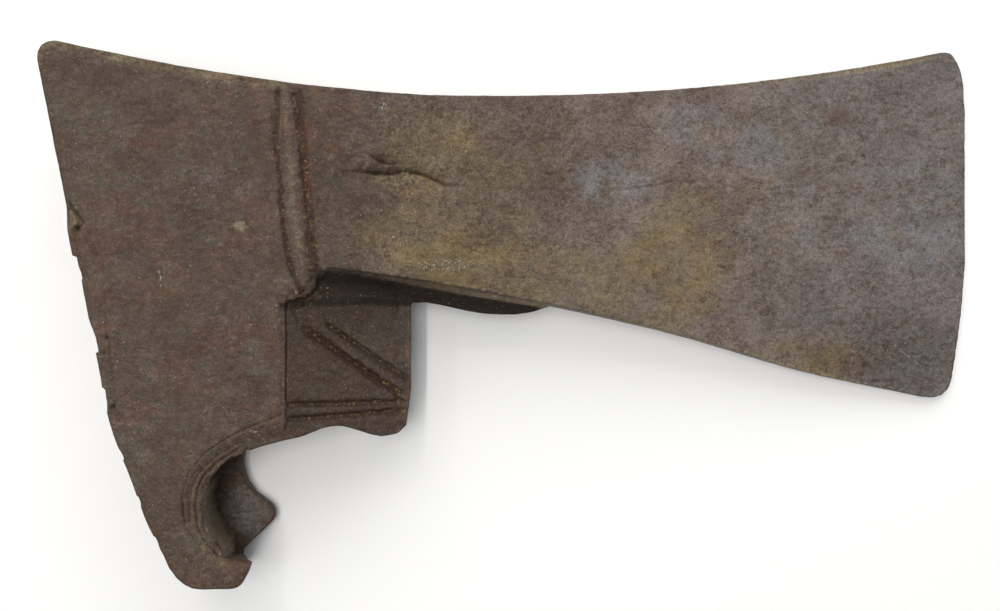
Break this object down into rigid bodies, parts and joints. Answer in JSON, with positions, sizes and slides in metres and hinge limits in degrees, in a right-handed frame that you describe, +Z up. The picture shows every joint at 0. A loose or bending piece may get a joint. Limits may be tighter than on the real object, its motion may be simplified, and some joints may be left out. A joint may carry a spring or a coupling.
{
  "type": "shaft-hole axe head",
  "caption": "Forged iron axe head lying on its side: wide flared blade, deep tapering socket for a haft, ribbed junction, engraved panel and a broken, scalloped socket mouth.",
  "frame": {"origin": "middle of the head's bounding box, on the surface that it lies on", "axes": "+X from the poll to the cutting edge, +Y up the haft from the socket's mouth to its upper side, +Z up from the surface that the head lies on"},
  "size_m": [0.2204, 0.1268, 0.0326],
  "materials": {
    "forged_iron": "old forged iron under a dark brown patina, with olive-gold and blue-grey sheens on the blade and rust in the grooves"
  },
  "bodies": {
    "root": {"axe_head": "forged_iron"}
  },
  "joints": []
}
